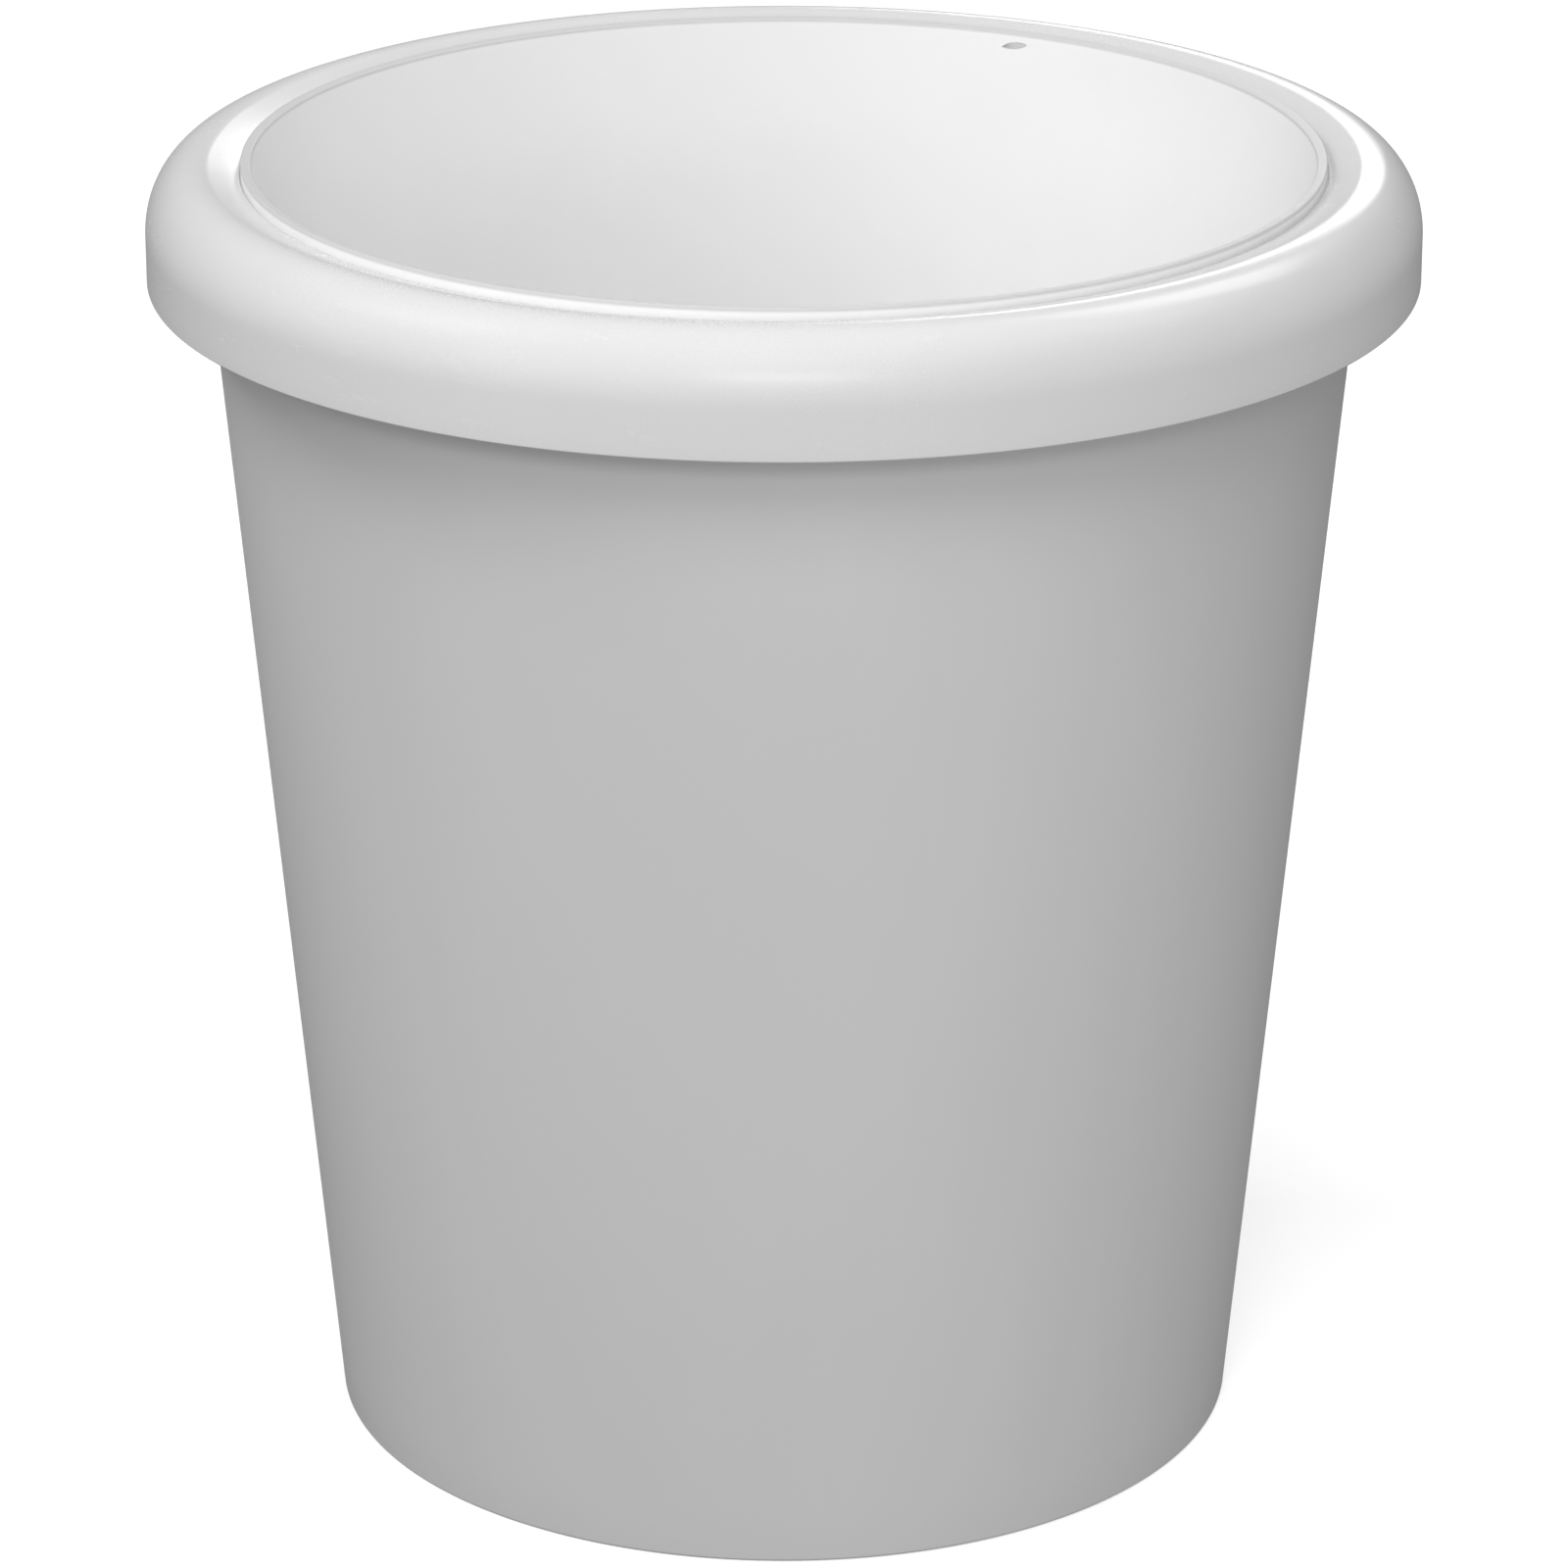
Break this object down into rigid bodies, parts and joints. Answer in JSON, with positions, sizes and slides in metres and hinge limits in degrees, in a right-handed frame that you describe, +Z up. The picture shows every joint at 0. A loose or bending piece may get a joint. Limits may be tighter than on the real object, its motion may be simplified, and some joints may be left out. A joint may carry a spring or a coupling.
{
  "type": "wastebasket",
  "caption": "Round tapered office wastebasket: an outer shell, a lift-out inner bucket hung on its edge, and a rounded rim ring that grips the bag.",
  "frame": {"origin": "centre of the base at floor level, on the axis of the round body", "axes": "+Z up along the axis of revolution, the small notch under the lip is 27.5 degrees from +Y towards +X"},
  "size_m": [0.31, 0.31, 0.3241],
  "materials": {
    "shell_plastic": "fine moulded satin, light grey-white polypropylene",
    "bucket_plastic": "smooth moulded satin, grey-white polypropylene",
    "ring_plastic": "smooth moulded satin with a soft gloss, light grey-white polypropylene"
  },
  "bodies": {
    "shell": {"outer_shell": "shell_plastic"},
    "bucket": {"inner_bucket": "bucket_plastic"},
    "ring": {"rim_ring": "ring_plastic"}
  },
  "joints": [
    {"name": "bucket_lift", "type": "slide", "parent": "shell", "child": "bucket", "axis": [0, 0, 1], "range_m": [0, 0.33]},
    {"name": "ring_lift", "type": "slide", "parent": "bucket", "child": "ring", "axis": [0, 0, 1], "range_m": [0, 0.1]}
  ]
}
